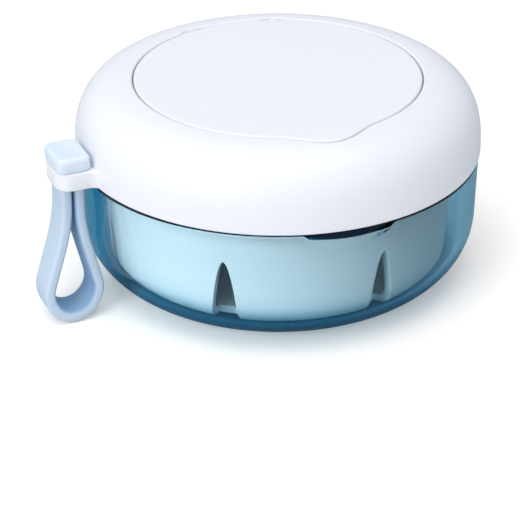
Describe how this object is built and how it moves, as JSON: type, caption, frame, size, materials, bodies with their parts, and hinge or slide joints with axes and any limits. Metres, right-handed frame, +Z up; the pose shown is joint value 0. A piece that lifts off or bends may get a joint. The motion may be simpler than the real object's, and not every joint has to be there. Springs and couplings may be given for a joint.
{
  "type": "denture case",
  "caption": "Round denture case: clear cup with a hanging strainer basket, domed lift-off lid with a flip-up mirror let into its top, and a hanging silicone strap loop.",
  "frame": {"origin": "centre of the cup's foot, on the face it stands on", "axes": "+Z up along the case's axis; -Y towards the thumb notch and the mirror's tab, +Y towards the mirror's hinge; the strap hangs near -X"},
  "size_m": [0.1088, 0.095, 0.0483],
  "materials": {
    "clear_blue_plastic": "polished, see-through blue tint",
    "satin_white_plastic": "satin",
    "white_plastic": "fine matt",
    "pale_blue_silicone": "smooth matt",
    "dark_silicone": "smooth matt",
    "adhesive_foam": "matt",
    "mirror_glass": "mirror",
    "steel": "drawn wire"
  },
  "bodies": {
    "base": {"base_cup": "clear_blue_plastic", "seal_ring": "dark_silicone"},
    "basket": {"strainer_basket": "white_plastic"},
    "lid": {"lid_shell": "satin_white_plastic", "lid_liner": "white_plastic", "hinge_pin": "steel", "strap_head": "pale_blue_silicone"},
    "flap": {"mirror_flap": "satin_white_plastic", "mirror_tape": "adhesive_foam", "mirror_glass": "mirror_glass"},
    "strap": {"strap_loop": "pale_blue_silicone"}
  },
  "joints": [
    {"name": "lid_lift", "type": "slide", "parent": "base", "child": "lid", "axis": [0, 0, 1], "range_m": [0, 0.11]},
    {"name": "basket_lift", "type": "slide", "parent": "base", "child": "basket", "axis": [0, 0, 1], "range_m": [0, 0.055]},
    {"name": "mirror_hinge", "type": "hinge", "parent": "lid", "child": "flap", "pos_m": [0, 0.0322, 0.0475], "axis": [-1, 0, 0], "range_deg": [0, 90]},
    {"name": "strap_swing", "type": "hinge", "parent": "lid", "child": "strap", "pos_m": [-0.05197, -0.00363, 0.02845], "axis": [-0.0698, 0.9976, 0], "range_deg": [0, 80]}
  ],
  "couplings": [
    {"joint": "basket_lift", "follows": "lid_lift", "ratio": 0.5}
  ]
}
